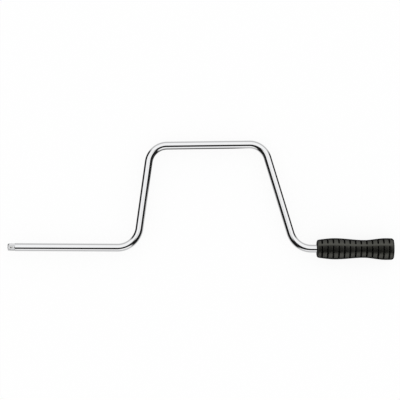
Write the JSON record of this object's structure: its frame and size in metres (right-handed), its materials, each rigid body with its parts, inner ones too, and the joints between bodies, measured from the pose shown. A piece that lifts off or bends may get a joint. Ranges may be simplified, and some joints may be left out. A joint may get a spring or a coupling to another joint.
{
  "type": "crank handle",
  "caption": "Bent chrome-plated hand crank: square ball-detent drive, open crank bay and a waisted, grooved plastic grip that spins on the bar's end.",
  "frame": {"origin": "centre of the drive square's tip face, on the drive axis", "axes": "+X along the drive axis from the square towards the grip; +Y towards the thrown side of the crank; +Z square to the crank's plane, out of the square's ball face. The crank lies on its side, as it would on a bench."},
  "size_m": [0.35, 0.1075, 0.0196],
  "materials": {
    "chrome_bar": "bright chrome plate over bent steel bar",
    "polished_ball": "polished hardened steel",
    "spring_steel": "drawn spring wire",
    "grip_plastic": "moulded black plastic, satin with a fine mould grain",
    "cap_plastic": "moulded black plastic, satin",
    "washer_steel": "pressed steel, zinc plated",
    "ring_steel": "phosphated spring steel"
  },
  "bodies": {
    "crank": {"crank_bar": "chrome_bar", "detent_spring": "spring_steel", "thrust_washer": "washer_steel", "retaining_ring": "ring_steel"},
    "ball": {"detent_ball": "polished_ball"},
    "grip_body": {"grip": "grip_plastic", "end_cap": "cap_plastic"}
  },
  "joints": [
    {"name": "grip_spin", "type": "hinge", "parent": "crank", "child": "grip_body", "pos_m": [0.31, 0, 0], "axis": [1, 0, 0], "continuous": true},
    {"name": "detent_press", "type": "slide", "parent": "crank", "child": "ball", "axis": [0, 0, -1], "range_m": [0, 0.0005], "stiffness_N_per_m": 2000, "springref_m": -0.0005, "deforming": ["detent_spring"]}
  ]
}
